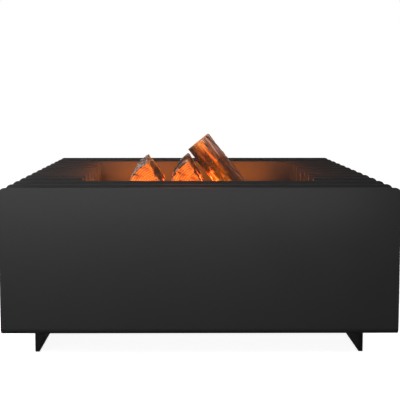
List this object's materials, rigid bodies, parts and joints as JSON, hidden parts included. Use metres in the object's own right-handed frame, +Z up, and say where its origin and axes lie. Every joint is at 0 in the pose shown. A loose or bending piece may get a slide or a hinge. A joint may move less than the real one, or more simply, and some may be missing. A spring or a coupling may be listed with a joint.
{
  "type": "fire pit with grate",
  "caption": "Square outdoor fire pit: upright steel fins in a folded tray on runners, cut out in the middle for a lift-out fire bowl with a log grate and firewood.",
  "frame": {"origin": "on the ground under the centre of the square plan", "axes": "+X right, +Y back (the plain front panel faces -Y), +Z up"},
  "size_m": [0.914, 0.914, 0.5068],
  "materials": {
    "body_coat": "anthracite powder coat, fine texture, satin",
    "fixings": "zinc-plated steel, dull",
    "bowl_steel": "heat-resistant black paint, sooty and heat-tinted",
    "grate_steel": "blackened iron, scaled by heat",
    "firewood": "split hardwood with bark, charred at the edges"
  },
  "bodies": {
    "pit": {"tray": "body_coat", "fin_1": "body_coat", "fin_2": "body_coat", "fin_3": "body_coat", "fin_4": "body_coat", "fin_5": "body_coat", "fin_6": "body_coat", "fin_7": "body_coat", "fin_8": "body_coat", "fin_9": "body_coat", "fin_10": "body_coat", "fin_11": "body_coat", "runner_left": "body_coat", "runner_right": "body_coat", "tie_rod_left_low": "fixings", "tie_rod_left_high": "fixings", "tie_rod_right_low": "fixings", "tie_rod_right_high": "fixings", "spacer_tubes_left_low": "body_coat", "spacer_tubes_left_high": "body_coat", "spacer_tubes_right_low": "body_coat", "spacer_tubes_right_high": "body_coat", "floor_bolts": "fixings", "floor_washers": "fixings", "floor_nuts": "fixings", "rod_washers": "fixings", "rod_nuts": "fixings"},
    "bowl": {"fire_bowl": "bowl_steel"},
    "grate": {"grate_rail_front": "grate_steel", "grate_rail_back": "grate_steel", "grate_rail_left": "grate_steel", "grate_rail_right": "grate_steel", "grate_bearer": "grate_steel", "grate_bar_1": "grate_steel", "grate_bar_2": "grate_steel", "grate_bar_3": "grate_steel", "grate_bar_4": "grate_steel", "grate_bar_5": "grate_steel", "grate_bar_6": "grate_steel", "grate_bar_7": "grate_steel", "grate_bar_8": "grate_steel", "grate_bar_9": "grate_steel", "grate_legs": "grate_steel"},
    "firewood": {"log_base_left": "firewood", "log_base_right": "firewood", "log_cross_front": "firewood", "log_cross_back": "firewood", "log_upper_left": "firewood", "log_upper_middle": "firewood", "log_leaning": "firewood"}
  },
  "joints": [
    {"name": "bowl_lift", "type": "slide", "parent": "pit", "child": "bowl", "axis": [0, 0, 1], "range_m": [0, 0.25]},
    {"name": "grate_lift", "type": "slide", "parent": "bowl", "child": "grate", "axis": [0, 0, 1], "range_m": [0, 0.2]},
    {"name": "firewood_lift", "type": "slide", "parent": "grate", "child": "firewood", "axis": [0, 0, 1], "range_m": [0, 0.2]}
  ]
}
